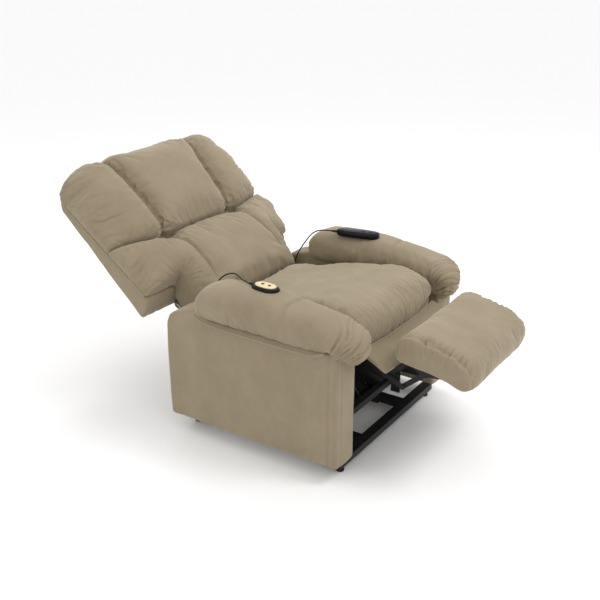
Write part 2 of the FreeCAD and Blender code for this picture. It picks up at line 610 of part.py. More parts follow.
def cord_tube(label, route, diameter):
    """A tube of straight runs joined by tangent arcs, each arc as large as its two runs allow."""
    points = [Vector(*point) for point in route]
    edges = []
    start = points[0]
    length = 0.0
    radii = []
    for i in range(1, len(points) - 1):
        before = points[i] - points[i - 1]
        after = points[i + 1] - points[i]
        turn = before.getAngle(after)
        reach = 0.45 * min(before.Length, after.Length)
        radius = reach / math.tan(turn / 2)
        radii.append(radius)
        enter = points[i] - before.normalize() * reach
        leave = points[i] + after.normalize() * reach
        inward = (leave + enter) * 0.5 - points[i]
        inward.normalize()
        crown = points[i] + inward * (math.hypot(radius, reach) - radius)
        edges.append(Part.LineSegment(start, enter).toShape())
        edges.append(Part.Arc(enter, crown, leave).toShape())
        length += (enter - start).Length + radius * turn
        start = leave
    edges.append(Part.LineSegment(start, points[-1]).toShape())
    length += (points[-1] - start).Length
    path = Part.Wire(edges)
    first = (points[1] - points[0]).normalize()
    section = Part.Wire([Part.makeCircle(diameter / 2, points[0], first)])
    shape = path.makePipeShell([section], True, True)
    expected = math.pi * diameter ** 2 / 4 * length
    print("%s: length %.1f, volume %.0f of %.0f, radii %s" % (
        label, length, shape.Volume, expected, " ".join("%.0f" % radius for radius in radii)))
    if abs(shape.Volume / expected - 1) > 0.01:
        raise ValueError("%s: the tube's volume is not its section times its length" % label)
    tube = doc.addObject("Part::Feature", "Tube")
    tube.Shape = shape
    node(label, [tube])


LIFT_CORD = [
    (283.9, 459.0, 618.3), (276.0, 492.0, 618.0), (279.0, 528.0, 606.0), (288.0, 560.0, 580.0),
    (295.0, 588.0, 545.0), (293.0, 613.0, 508.0), (288.0, 630.0, 468.0), (289.0, 637.0, 436.0),
    (298.0, 640.0, 420.0),
]
MASSAGE_CORD = [
    (-339.9, 397.1, 616.3), (-336.0, 425.0, 617.0), (-318.0, 455.0, 619.0), (-298.0, 485.0, 618.0),
    (-287.0, 520.0, 608.0), (-285.0, 553.0, 590.0), (-287.0, 579.0, 560.0), (-288.0, 590.0, 520.0),
    (-288.0, 596.0, 480.0), (-289.0, 600.0, 447.0), (-298.0, 602.0, 430.0),
]


def build_cords():
    diameter = value("cord_diameter")
    cord_tube("lift_cord", LIFT_CORD, diameter)
    cord_tube("massage_cord", MASSAGE_CORD, diameter)
    grommets = []
    for route, side in ((LIFT_CORD, 1), (MASSAGE_CORD, -1)):
        end = route[-1]
        low = end[0] if side > 0 else -value("arm_inner")
        deep = value("arm_inner") - abs(end[0])
        grommets.append(cylinder("x", (str(low), str(end[1]), str(end[2])), str(deep), "7"))
    node("cord_grommets", grommets)


# ---------------------------------------------------------------- whole chair

def check_and_export():
    doc.recompute()
    for item in doc.Objects:
        if "Invalid" in item.State or "Error" in item.State:
            raise ValueError("%s (%s) failed: %s" % (item.Name, item.Label, item.State))
    bounds = FreeCAD.BoundBox()
    for item in nodes:
        shape = item.Shape
        if shape.isNull() or not shape.isValid():
            raise ValueError("%s has no valid shape" % item.Label)
        if "cord" not in item.Label:
            bounds.add(shape.optimalBoundingBox(False))
    print("bounds X %.2f %.2f  Y %.3f %.3f  Z %.2f %.2f" % (
        bounds.XMin, bounds.XMax, bounds.YMin, bounds.YMax, bounds.ZMin, bounds.ZMax))
    os.makedirs("parts", exist_ok=True)
    for item in nodes:
        item.Shape.exportStep("parts/%s.step" % item.Label)
    print("%d sub-parts" % len(nodes))


build_base()
build_lift_actuator()
build_lift_linkage()
build_seat_frame()
build_back_actuator()
build_arms()
build_seat()
build_back()
build_footrest()
build_lift_handset()
build_massage_handset()
build_cords()
check_and_export()
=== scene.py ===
"""Lift recliner chair: the looks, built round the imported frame.  Metres, in the row frame."""

import json
import math

import bmesh
import bpy
import numpy as np
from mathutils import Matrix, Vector


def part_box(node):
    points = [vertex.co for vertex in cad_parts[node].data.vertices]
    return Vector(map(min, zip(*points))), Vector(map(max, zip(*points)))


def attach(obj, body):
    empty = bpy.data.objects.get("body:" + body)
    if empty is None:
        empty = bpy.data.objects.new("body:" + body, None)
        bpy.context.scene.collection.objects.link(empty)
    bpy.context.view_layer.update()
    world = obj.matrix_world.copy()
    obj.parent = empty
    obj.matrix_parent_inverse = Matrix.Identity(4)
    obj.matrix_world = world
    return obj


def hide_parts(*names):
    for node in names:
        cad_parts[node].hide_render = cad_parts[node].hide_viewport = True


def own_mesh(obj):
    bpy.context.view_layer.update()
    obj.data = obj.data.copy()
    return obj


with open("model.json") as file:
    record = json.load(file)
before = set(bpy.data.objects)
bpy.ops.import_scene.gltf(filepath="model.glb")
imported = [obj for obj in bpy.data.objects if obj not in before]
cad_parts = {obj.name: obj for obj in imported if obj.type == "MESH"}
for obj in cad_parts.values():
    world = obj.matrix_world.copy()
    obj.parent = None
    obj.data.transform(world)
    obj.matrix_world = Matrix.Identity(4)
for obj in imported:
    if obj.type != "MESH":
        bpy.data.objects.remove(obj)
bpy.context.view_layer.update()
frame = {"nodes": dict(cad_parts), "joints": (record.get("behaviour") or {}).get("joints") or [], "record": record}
scene = bpy.context.scene

# ---------------------------------------------------------------- places, all from the frame

ARM_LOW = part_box("arm_box_left")[0]
FRONT_Y = ARM_LOW.y                       # front faces of the arms: y = 0 in chair coordinates
JOINTS = {joint["name"]: joint for joint in frame["joints"]}
BACK_PIVOT = Vector(JOINTS["recline"]["pos_m"])
BACK_LEAN = math.radians(43.5)            # slope of the back above the horizontal, in the rest pose
BACK_UP = Vector((0, math.cos(BACK_LEAN), math.sin(BACK_LEAN)))
BACK_OUT = Vector((0, -math.sin(BACK_LEAN), math.cos(BACK_LEAN)))
BACK_HALF = 0.435                         # half width of the back over its wings
BACK_NARROW = 0.276                       # half width of the back between the arms
PAD_INNER, PAD_OUTER = 0.270, 0.449       # sides of an arm pad
SEAT_HALF = 0.298                         # half width of the seat cushion


def chair(x, y, z):
    """A point given from the arms' front faces and the floor."""
    return Vector((x, y + FRONT_Y, z))


def on_back(x, u, v):
    """A point given across, up and out of the back, from the recline pivot."""
    return BACK_PIVOT + Vector((x, 0, 0)) + BACK_UP * u + BACK_OUT * v


# ---------------------------------------------------------------- camera, light and floor

CAMERA_AZIMUTH, CAMERA_ELEVATION = math.radians(-56.50), math.radians(22.43)


def build_camera():
    camera = bpy.data.objects.new("camera", bpy.data.cameras.new("camera"))
    scene.collection.objects.link(camera)
    camera.data.sensor_width = 36
    camera.data.lens = 54.76
    camera.location = chair(-2.622, -1.318, 1.730)
    back = Vector((math.sin(CAMERA_AZIMUTH) * math.cos(CAMERA_ELEVATION),
                   -math.cos(CAMERA_AZIMUTH) * math.cos(CAMERA_ELEVATION),
                   math.sin(CAMERA_ELEVATION)))
    camera.rotation_mode = "QUATERNION"
    camera.rotation_quaternion = (-back).to_track_quat("-Z", "Y")
    scene.camera = camera


def area_light(name, at, aim, size, power):
    light = bpy.data.objects.new(name, bpy.data.lights.new(name, "AREA"))
    scene.collection.objects.link(light)
    light.data.shape = "DISK"
    light.data.size = size
    light.data.energy = power
    light.location = at
    light.rotation_mode = "QUATERNION"
    light.rotation_quaternion = (aim - at).to_track_quat("-Z", "Y")


def build_studio():
    world = bpy.data.worlds.new("studio")
    scene.world = world
    world.use_nodes = True
    background = world.node_tree.nodes["Background"]
    background.inputs["Color"].default_value = (1.0, 1.0, 1.0, 1)
    background.inputs["Strength"].default_value = 1.02
    scene.view_settings.view_transform = "Standard"
    aim = chair(0, 0.4, 0.4)
    area_light("key_light", chair(0.4, -2.2, 3.4), aim, 1.3, 46)
    area_light("fill_light", chair(-3.4, 0.6, 1.8), aim, 2.4, 16)
    area_light("top_light", chair(1.4, 1.2, 3.2), aim, 1.8, 24)
    floor_mesh = bpy.data.meshes.new("floor")
    reach = 40.0
    corners = [(-reach, -reach, 0), (reach, -reach, 0), (reach, reach, 0), (-reach, reach, 0)]
    floor_mesh.from_pydata(corners, [], [(0, 1, 2, 3)])
    floor = bpy.data.objects.new("floor", floor_mesh)
    scene.collection.objects.link(floor)
    floor.data.materials.append(plain_material("floor_paper", (0.93, 0.93, 0.93), 0.9))


# ---------------------------------------------------------------- materials

def new_material(name):
    material = bpy.data.materials.new(name)
    material.use_nodes = True
    tree = material.node_tree
    return material, tree, tree.nodes["Principled BSDF"]


def plain_material(name, color, roughness):
    material, _, shader = new_material(name)
    shader.inputs["Base Color"].default_value = (*color, 1)
    shader.inputs["Roughness"].default_value = roughness
    return material


def noise_node(tree, scale, detail, roughness=0.5, distortion=0.0):
    where = tree.nodes.new("ShaderNodeTexCoord")
    noise = tree.nodes.new("ShaderNodeTexNoise")
    noise.inputs["Scale"].default_value = scale
    noise.inputs["Detail"].default_value = detail
    noise.inputs["Roughness"].default_value = roughness
    noise.inputs["Distortion"].default_value = distortion
    tree.links.new(where.outputs["Object"], noise.inputs["Vector"])
    return noise


def ramp_node(tree, source, stops):
    ramp = tree.nodes.new("ShaderNodeValToRGB")
    elements = ramp.color_ramp.elements
    while len(elements) < len(stops):
        elements.new(0.5)
    for element, (position, color) in zip(elements, stops):
        element.position = position
        element.color = (*color, 1)
    tree.links.new(source, ramp.inputs["Fac"])
    return ramp


def bump_node(tree, height, strength, distance, below=None):
    bump = tree.nodes.new("ShaderNodeBump")
    bump.inputs["Strength"].default_value = strength
    bump.inputs["Distance"].default_value = distance
    tree.links.new(height, bump.inputs["Height"])
    if below is not None:
        tree.links.new(below.outputs["Normal"], bump.inputs["Normal"])
    return bump


def suede_material(name, dark, middle, light):
    """Microsuede: brushed patches of nap, a fine pile, soft creases and a dusty sheen."""
    material, tree, shader = new_material(name)
    patches = noise_node(tree, 7.0, 8.0, 0.66, 0.25)
    color = ramp_node(tree, patches.outputs["Fac"], [(0.28, dark), (0.50, middle), (0.74, light)])
    pile = noise_node(tree, 900.0, 2.0, 0.6)
    speckle = ramp_node(tree, pile.outputs["Fac"], [(0.25, (0.86, 0.86, 0.86)), (0.75, (1.0, 1.0, 1.0))])
    mix = tree.nodes.new("ShaderNodeMix")
    mix.data_type = "RGBA"
    mix.blend_type = "MULTIPLY"
    mix.inputs["Factor"].default_value = 1.0
    tree.links.new(color.outputs["Color"], mix.inputs["A"])
    tree.links.new(speckle.outputs["Color"], mix.inputs["B"])
    tree.links.new(mix.outputs["Result"], shader.inputs["Base Color"])
    rough = noise_node(tree, 14.0, 3.0)
    roughness = tree.nodes.new("ShaderNodeMapRange")
    roughness.inputs["To Min"].default_value = 0.78
    roughness.inputs["To Max"].default_value = 0.96
    tree.links.new(rough.outputs["Fac"], roughness.inputs["Value"])
    tree.links.new(roughness.outputs["Result"], shader.inputs["Roughness"])
    shader.inputs["Sheen Weight"].default_value = 0.35
    shader.inputs["Sheen Roughness"].default_value = 0.45
    shader.inputs["Sheen Tint"].default_value = (0.95, 0.88, 0.74, 1)
    shader.inputs["Specular IOR Level"].default_value = 0.2
    creases = noise_node(tree, 26.0, 4.0, 0.6, 0.8)
    soft = bump_node(tree, creases.outputs["Fac"], 0.30, 0.004)
    fine = bump_node(tree, pile.outputs["Fac"], 0.25, 0.0006, soft)
    tree.links.new(fine.outputs["Normal"], shader.inputs["Normal"])
    return material


def coated_material(name, color, roughness, grain_scale, grain, metallic=0.0, worn=None, shine=0.28):
    """Paint, plate or moulded plastic: a fine grain, small changes of gloss and a little wear."""
    material, tree, shader = new_material(name)
    wear = noise_node(tree, 30.0, 6.0, 0.65, 0.3)
    lighter = worn or tuple(min(1.0, 1.35 * c + 0.01) for c in color)
    tint = ramp_node(tree, wear.outputs["Fac"], [(0.35, color), (0.62, color), (0.85, lighter)])
    tree.links.new(tint.outputs["Color"], shader.inputs["Base Color"])
    gloss = tree.nodes.new("ShaderNodeMapRange")
    gloss.inputs["To Min"].default_value = max(0.05, roughness - 0.08)
    gloss.inputs["To Max"].default_value = min(1.0, roughness + 0.12)
    tree.links.new(wear.outputs["Fac"], gloss.inputs["Value"])
    tree.links.new(gloss.outputs["Result"], shader.inputs["Roughness"])
    shader.inputs["Metallic"].default_value = metallic
    shader.inputs["Specular IOR Level"].default_value = shine
    peel = noise_node(tree, grain_scale, 2.0)
    bump = bump_node(tree, peel.outputs["Fac"], grain, 0.0008)
    tree.links.new(bump.outputs["Normal"], shader.inputs["Normal"])
    return material


def wood_material(name):
    """Plywood: long streaks of grain."""
    material, tree, shader = new_material(name)
    where = tree.nodes.new("ShaderNodeTexCoord")
    stretch = tree.nodes.new("ShaderNodeMapping")
    stretch.inputs["Scale"].default_value = (4, 60, 60)
    grain = tree.nodes.new("ShaderNodeTexNoise")
    grain.inputs["Scale"].default_value = 3
    grain.inputs["Detail"].default_value = 6
    tree.links.new(where.outputs["Object"], stretch.inputs["Vector"])
    tree.links.new(stretch.outputs["Vector"], grain.inputs["Vector"])
    color = ramp_node(tree, grain.outputs["Fac"], [(0.3, (0.33, 0.22, 0.12)), (0.7, (0.60, 0.46, 0.29))])
    tree.links.new(color.outputs["Color"], shader.inputs["Base Color"])
    shader.inputs["Roughness"].default_value = 0.7
    bump = bump_node(tree, grain.outputs["Fac"], 0.3, 0.001)
    tree.links.new(bump.outputs["Normal"], shader.inputs["Normal"])
    return material


def lining_material(name):
    """Spun dust cloth: black, with a faint quilted web."""
    material, tree, shader = new_material(name)
    web = noise_node(tree, 220.0, 3.0, 0.7)
    color = ramp_node(tree, web.outputs["Fac"], [(0.3, (0.008, 0.008, 0.009)), (0.75, (0.035, 0.035, 0.037))])
    tree.links.new(color.outputs["Color"], shader.inputs["Base Color"])
    shader.inputs["Roughness"].default_value = 0.95
    bump = bump_node(tree, web.outputs["Fac"], 0.5, 0.001)
    tree.links.new(bump.outputs["Normal"], shader.inputs["Normal"])
    return material


MATERIALS = {
    "suede": suede_material("suede", (0.232, 0.185, 0.118), (0.258, 0.208, 0.137), (0.292, 0.238, 0.160)),
    "black_steel": coated_material("black_steel", (0.010, 0.010, 0.011), 0.42, 500, 0.25),
    "grey_steel": coated_material("grey_steel", (0.055, 0.056, 0.060), 0.40, 400, 0.2, 0.5),
    "zinc_steel": coated_material("zinc_steel", (0.40, 0.37, 0.30), 0.38, 350, 0.15, 1.0),
    "glide_plastic": coated_material("glide_plastic", (0.02, 0.02, 0.021), 0.55, 700, 0.3),
    "motor_plastic": coated_material("motor_plastic", (0.028, 0.028, 0.030), 0.5, 900, 0.4),
    "wood": wood_material("plywood"),
    "black_lining": lining_material("black_lining"),
    "handset_black": coated_material("handset_black", (0.005, 0.005, 0.007), 0.26, 1200, 0.12, shine=0.15),
    "faceplate_cream": coated_material("faceplate_cream", (0.66, 0.53, 0.30), 0.4, 1000, 0.1),
    "key_grey": coated_material("key_grey", (0.045, 0.045, 0.05), 0.55, 1200, 0.3),
    "cord_rubber": coated_material("cord_rubber", (0.012, 0.012, 0.013), 0.5, 900, 0.2),
}


def dress_cad_nodes():
    slots = {part["node"]: part["material_slot"] for part in frame["record"]["subparts"]}
    for name, node in frame["nodes"].items():
        node.data.materials.clear()
        node.data.materials.append(MATERIALS[slots[name]])


# ---------------------------------------------------------------- mesh tools

def new_piece(name, points, faces, slot):
    mesh = bpy.data.meshes.new(name)
    mesh.from_pydata([tuple(p) for p in points], [], faces)
    mesh.update()
    piece = bpy.data.objects.new(name, mesh)
    scene.collection.objects.link(piece)
    piece.data.materials.append(MATERIALS[slot])
    return piece


def smooth_outline(points, count):
    """A closed Catmull-Rom curve through points, as count points evenly spaced along it."""
    corners = np.array(points, float)
    size = len(corners)
    steps = 16
    dense = []
    for i in range(size):
        a, b, c, d = (corners[(i + k) % size] for k in (-1, 0, 1, 2))
        for share in np.arange(steps) / steps:
            dense.append(0.5 * (2 * b + (c - a) * share + (2 * a - 5 * b + 4 * c - d) * share ** 2
                                + (3 * b - a - 3 * c + d) * share ** 3))
    dense = np.array(dense + [dense[0]])
    along = np.concatenate([[0], np.cumsum(np.linalg.norm(np.diff(dense, axis=0), axis=1))])
    wanted = np.linspace(0, along[-1], count, endpoint=False)
    return np.stack([np.interp(wanted, along, dense[:, k]) for k in range(dense.shape[1])], axis=1)


def hold_corners(outline, shares):
    """A closed outline with extra points along each side, so that smoothing keeps its corners."""
    dense = []
    for a, b in zip(outline, outline[1:] + outline[:1]):
        dense += [tuple(np.array(a) + (np.array(b) - np.array(a)) * share) for share in shares]
    return dense


def loft(name, rings, slot):
    """A closed skin over rings of equal size, capped at both ends."""
    size = len(rings[0])
    points = [point for ring in rings for point in ring]
    faces = []
    for i in range(len(rings) - 1):
        for k in range(size):
            a, b = i * size + k, i * size + (k + 1) % size
            faces.append((a, b, b + size, a + size))
    faces.append(tuple(reversed(range(size))))
    faces.append(tuple((len(rings) - 1) * size + k for k in range(size)))
    piece = new_piece(name, points, faces, slot)
    tidy = bmesh.new()
    tidy.from_mesh(piece.data)
    bmesh.ops.recalc_face_normals(tidy, faces=tidy.faces)
    tidy.to_mesh(piece.data)
    tidy.free()
    return piece


def apply_modifiers(piece):
    graph = bpy.context.evaluated_depsgraph_get()
    mesh = bpy.data.meshes.new_from_object(piece.evaluated_get(graph))
    piece.modifiers.clear()
    piece.data = mesh


def remesh(piece, voxel):
    modifier = piece.modifiers.new("Remesh", "REMESH")
    modifier.mode = "VOXEL"
    modifier.voxel_size = voxel
    apply_modifiers(piece)


def relax(piece, times, factor=0.5):
    modifier = piece.modifiers.new("Smooth", "SMOOTH")
    modifier.iterations = times
    modifier.factor = factor
    apply_modifiers(piece)


def shade_smooth(piece):
    for polygon in piece.data.polygons:
        polygon.use_smooth = True


def subdivide(piece):
    modifier = piece.modifiers.new("Subdivision", "SUBSURF")
    modifier.levels = 1
    modifier.render_levels = 1
    apply_modifiers(piece)
    shade_smooth(piece)


def read_points(piece):
    points = np.zeros(len(piece.data.vertices) * 3)
    piece.data.vertices.foreach_get("co", points)
    return points.reshape(-1, 3)


def read_normals(piece):
    normals = np.zeros(len(piece.data.vertices) * 3)
    piece.data.vertices.foreach_get("normal", normals)
    return normals.reshape(-1, 3)


def write_points(piece, points):
    piece.data.vertices.foreach_set("co", points.astype(np.float32).ravel())
    piece.data.update()


CLOTH_FRAMES = 20


def puff(piece, pinned, voxel=0.007, cap=0.020, pressure=4.0, slack=0.03):
    """Blows the cover up as cloth over its filling.  The seams given by pinned stay where they are,
    and every other point stays within cap of its place."""
    remesh(piece, voxel)
    relax(piece, 3)
    before = read_points(piece)
    hold = pinned(before)
    seams = piece.vertex_groups.new(name="seams")
    seams.add([int(k) for k in np.nonzero(hold)[0]], 1.0, "REPLACE")
    cloth = piece.modifiers.new("Cloth", "CLOTH")
    settings = cloth.settings
    settings.quality = 4
    settings.mass = 0.3
    settings.tension_stiffness = 12
    settings.compression_stiffness = 12
    settings.shear_stiffness = 4
    settings.bending_stiffness = 0.3
    settings.shrink_min = -slack
    settings.vertex_group_mass = "seams"
    settings.use_pressure = True
    settings.uniform_pressure_force = pressure
    settings.effector_weights.gravity = 0
    cloth.collision_settings.use_collision = False
    cloth.point_cache.frame_start = 1
    cloth.point_cache.frame_end = CLOTH_FRAMES
    for step in range(1, CLOTH_FRAMES + 1):
        scene.frame_set(step)
    graph = bpy.context.evaluated_depsgraph_get()
    swollen = bpy.data.meshes.new_from_object(piece.evaluated_get(graph))
    piece.modifiers.clear()
    piece.vertex_groups.clear()
    piece.data = swollen
    scene.frame_set(1)
    move = read_points(piece) - before
    far = np.linalg.norm(move, axis=1, keepdims=True) + 1e-9
    write_points(piece, before + move / far * cap * np.tanh(far / cap))
    subdivide(piece)


LATTICE = np.random.RandomState(7).uniform(-1, 1, (32, 32, 32))


def noise(points, size):
    """Smooth noise from -1 to 1 with features of about this size."""
    p = np.asarray(points) / size
    cell = np.floor(p).astype(int)
    part = p - cell
    part = part * part * (3 - 2 * part)
    total = np.zeros(len(p))
    for i in (0, 1):
        for j in (0, 1):
            for k in (0, 1):
                weight = (np.abs(1 - i - part[:, 0]) * np.abs(1 - j - part[:, 1])
                          * np.abs(1 - k - part[:, 2]))
                total += weight * LATTICE[(cell[:, 0] + i) % 32, (cell[:, 1] + j) % 32,
                                          (cell[:, 2] + k) % 32]
    return total


def groove(distance, depth, width):
    return depth * np.exp(-(distance / width) ** 2)


def gathers(away, along, spacing, reach, depth, points):
    """Narrow folds that start at a seam, run square to it and fade with the distance away from it."""
    total = np.zeros(len(points))
    for share, pitch, shift in ((1.0, spacing, 0.0), (0.6, spacing * 0.63, 0.37)):
        place = along / pitch + shift + 0.7 * noise(points + shift, 0.07)
        fold = np.rint(place)
        draw = np.modf(np.abs(np.sin(fold * 12.9898 + shift)) * 43758.5453)[0]
        valley = np.exp(-((place - fold) / 0.16) ** 2)
        total += share * (0.35 + 0.65 * draw) * valley * np.exp(-(away / (reach * (0.45 + 0.9 * draw))) ** 2)
    return depth * total


def soft_lumps(points, amount):
    """The slight unevenness of stuffing and of worn fabric."""
    return amount * (noise(points, 0.11) + 0.5 * noise(points + 9.0, 0.05))


def sink(piece, depth):
    """Moves each point against its normal by depth."""
    write_points(piece, read_points(piece) - read_normals(piece) * depth[:, None])


def welt(name, points, radius, body, slot="suede", steps=6):
    """Piping: a covered cord sewn into a seam."""
    curve = bpy.data.curves.new(name, "CURVE")
    curve.dimensions = "3D"
    spline = curve.splines.new("NURBS")
    spline.points.add(len(points) - 1)
    for place, point in zip(spline.points, points):
        place.co = (*point, 1)
    spline.order_u = 3
    spline.use_endpoint_u = True
    curve.bevel_depth = radius
    curve.bevel_resolution = 3
    curve.resolution_u = steps
    curve.use_fill_caps = True
    piece = bpy.data.objects.new(name, curve)
    scene.collection.objects.link(piece)
    curve.materials.append(MATERIALS[slot])
    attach(piece, body)
    return piece


# ---------------------------------------------------------------- cords

CORD_DIAMETER = 0.005
LIFT_CORD = [
    (0.2839, 0.4590, 0.6183), (0.2760, 0.4920, 0.6180), (0.2790, 0.5280, 0.6060),
    (0.2880, 0.5600, 0.5800), (0.2950, 0.5880, 0.5450), (0.2930, 0.6130, 0.5080),
    (0.2880, 0.6300, 0.4680), (0.2890, 0.6370, 0.4360), (0.2980, 0.6400, 0.4200),
]
MASSAGE_CORD = [
    (-0.3399, 0.3971, 0.6163), (-0.3360, 0.4250, 0.6170), (-0.3180, 0.4550, 0.6190),
    (-0.2980, 0.4850, 0.6180), (-0.2870, 0.5200, 0.6080), (-0.2850, 0.5530, 0.5900),
    (-0.2870, 0.5790, 0.5600), (-0.2880, 0.5900, 0.5200), (-0.2880, 0.5960, 0.4800),
    (-0.2890, 0.6000, 0.4470), (-0.2980, 0.6020, 0.4300),
]


def build_cord(name, route):
    points = [chair(*point) for point in route]
    piece = welt(name + "_flex", points, CORD_DIAMETER / 2, "chair", "cord_rubber", 12)
    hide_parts(name)


# ---------------------------------------------------------------- the back

def welt_line(u):
    """How far the side seam of the back stands out of it, at a height up the back."""
    return 0.026 - (u - 0.206) * 0.1234


def edge_fall(x, half, power=5.0):
    """1 in the middle, falling to 0 at the side."""
    return math.sqrt(max(0.0, 1 - (abs(x) / half) ** power))


def cross_seam(x):
    """Height of the seam between head and lumbar pillows."""
    out = np.clip((np.abs(x) - 0.194) / 0.241, 0, None)
    return 0.380 + 0.046 * out ** 1.3 + 0.010 * np.cos(np.clip(np.abs(x) / 0.194, 0, 1) * math.pi / 2)


def upright_seam(u):
    """How far off the middle the two upright seams run."""
    rise = np.clip((u - 0.383) / 0.375, -1, 1)
    return np.where(u > 0.383, 0.194 + 0.041 * rise ** 2, 0.194 + 0.030 * rise ** 2)


def stations(half, count):
    """Places across, closer together near the sides."""
    return [half * math.sin(math.pi / 2 * (2 * i / (count - 1) - 1)) for i in range(count)]


def back_coordinates(points):
    local = points - np.array(BACK_PIVOT)
    return points[:, 0], local @ np.array(BACK_UP), local @ np.array(BACK_OUT)


def head_ring(x):
    fall = edge_fall(x, BACK_HALF + 0.001)
    low = float(cross_seam(np.array([x]))[0])
    full = 1 - 0.65 * (1 - fall)
    top = 0.776 - 0.088 * (1 - fall)
    outline = []
    for u, rise, share in ((low + 0.002, 0.056, full), (low + 0.018, 0.088, full), (low + 0.050, 0.101, full),
                           (0.50, 0.113, full), (0.56, 0.122, full), (0.62, 0.129, full), (0.67, 0.134, fall),
                           (0.712, 0.131, fall), (top - 0.026, 0.116, fall), (top - 0.006, 0.090, fall),
                           (top, 0.052, fall)):
        outline.append((u, welt_line(min(u, 0.67)) + rise * share))
    outline += [(top - 0.008, -0.020 - 0.012 * fall), (top - 0.035, -0.050 - 0.004 * fall),
                (0.668, -0.056), (0.655, -0.036), (0.54, welt_line(0.54) - 0.004),
                (low + 0.002, welt_line(low) - 0.004)]
    return [on_back(x, u, v) for u, v in smooth_outline(outline, 84)]


def side_swell(points, u, v, amount):
    """Stuffing that spills sideways over the side seams."""
    x = points[:, 0]
    rise = v - welt_line(np.clip(u, 0.2, 0.67))
    share = np.clip((np.abs(x) - 0.385) / 0.05, 0, 1) * np.exp(-((rise - 0.042) / 0.034) ** 2)
    points[:, 0] += np.sign(x) * amount * share
    return points


def head_pins(points):
    x, u, v = back_coordinates(points)
    rear = v < welt_line(np.clip(u, 0.2, 0.67)) + 0.006
    seam = np.abs(np.abs(x) - upright_seam(u)) < 0.007
    foot = u < cross_seam(x) + 0.012
    return np.where(rear | seam | foot, 1.0, 0.0)


def build_head_pillow():
    piece = loft("head_pillow_cover", [head_ring(x) for x in stations(BACK_HALF, 41)], "suede")
    puff(piece, head_pins)
    points = read_points(piece)
    x, u, v = back_coordinates(points)
    write_points(piece, side_swell(points, u, v, 0.009))
    out = read_normals(piece) @ np.array(BACK_OUT)
    up = read_normals(piece) @ np.array(BACK_UP)
    facing = np.clip(1.4 * np.maximum(out, up) + 0.20, 0, 1)
    seam = np.abs(np.abs(x) - upright_seam(u))
    tuft = np.hypot(seam, u - cross_seam(x))
    side = BACK_HALF + 0.006 - np.abs(x)
    depth = groove(seam, 0.014, 0.007) + groove(seam, 0.018, 0.034)
    depth += groove(tuft, 0.012, 0.035)
    depth += gathers(side, u + 0.25 * side, 0.034, 0.064, 0.0070, points)
    depth += gathers(seam, u, 0.036, 0.022, 0.0030, points)
    depth += gathers(np.abs(u - cross_seam(x)), x, 0.052, 0.032, 0.0032, points)
    depth += gathers(tuft, np.arctan2(u - cross_seam(x), seam + 1e-6) * 0.05, 0.020, 0.06, 0.004, points)
    depth += soft_lumps(points, 0.0024)
    sink(piece, depth * facing)
    relax(piece, 1, 0.3)
    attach(piece, "backrest")
    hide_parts("head_pillow")


def lumbar_ring(x):
    """The wings stand on the hard back; between them the pillow reaches down to the seat."""
    wide = abs(x) > BACK_NARROW
    fall = edge_fall(x, BACK_HALF + 0.001, 5.0)
    full = 1 - 0.65 * (1 - fall)
    inner = edge_fall(min(abs(x), BACK_NARROW), BACK_NARROW + 0.002, 3.5)
    high = float(cross_seam(np.array([x]))[0])
    outline = []
    if wide:
        middle = 0.45 * np.clip((0.33 - abs(x)) / 0.06, 0, 1)
        for u, rise, share in ((0.209, 0.028, fall), (0.214, 0.068, fall), (0.240, 0.088, fall),
                               (0.290, 0.102, fall), (0.335, 0.104, full), (0.372, 0.094, full)):
            outline.append((u, welt_line(u) + rise * share + 0.020 * middle))
    else:
        for u, edge, centre in ((0.048, 0.050, 0.095), (0.052, 0.074, 0.142), (0.090, 0.086, 0.158),
                                (0.140, 0.104, 0.162), (0.200, 0.124, 0.160), (0.270, 0.121, 0.148),
                                (0.325, 0.108, 0.128)):
            outline.append((u, edge + (centre - edge) * inner))
        outline.append((0.362, welt_line(0.362) + 0.096))
    outline.append((high - 0.014, welt_line(high) + 0.086 * full))
    outline.append((high - 0.002, welt_line(high) + 0.056 * full))
    outline.append((high - 0.002, welt_line(high) - 0.002))
    if wide:
        outline += [(0.30, welt_line(0.30) - 0.002), (0.211, welt_line(0.211) - 0.001)]
    else:
        outline += [(0.26, -0.010), (0.12, -0.026), (0.052, -0.022)]
    return [on_back(x, u, v) for u, v in smooth_outline(outline, 80)]


def lumbar_pins(points):
    x, u, v = back_coordinates(points)
    wing = np.abs(x) > BACK_NARROW
    rear = np.where(wing, v < welt_line(np.clip(u, 0.2, 0.67)) + 0.008, v < 0.03)
    seam = (np.abs(np.abs(x) - upright_seam(u)) < 0.007) & (u > 0.13)
    crest = u > cross_seam(x) - 0.012
    return np.where(rear | seam | crest, 1.0, 0.0)


